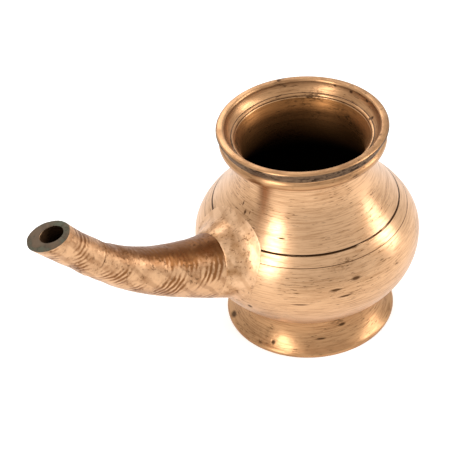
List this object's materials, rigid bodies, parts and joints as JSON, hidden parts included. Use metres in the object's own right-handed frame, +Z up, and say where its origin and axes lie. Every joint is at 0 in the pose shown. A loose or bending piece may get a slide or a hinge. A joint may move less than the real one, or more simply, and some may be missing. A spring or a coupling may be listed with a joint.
{
  "type": "spouted water pot",
  "caption": "Squat turned brass water pot with a flared foot, a wide bellied body, a collared rim and a long curved spout cast on at the belly.",
  "frame": {"origin": "centre of the foot ring's resting face", "axes": "+Z up along the pot's turning axis, -X towards the spout's mouth, +Y to the side"},
  "size_m": [0.1983, 0.1074, 0.1124],
  "materials": {
    "turned_brass": "turned, worn and patinated",
    "rough_brass": "filed casting with patina"
  },
  "bodies": {
    "root": {"foot_ring": "turned_brass", "belly_bowl": "turned_brass", "shoulder_shell": "turned_brass", "rim_ring": "turned_brass", "spout_boss": "rough_brass", "spout_tube": "rough_brass", "spout_tip": "rough_brass"}
  },
  "joints": []
}
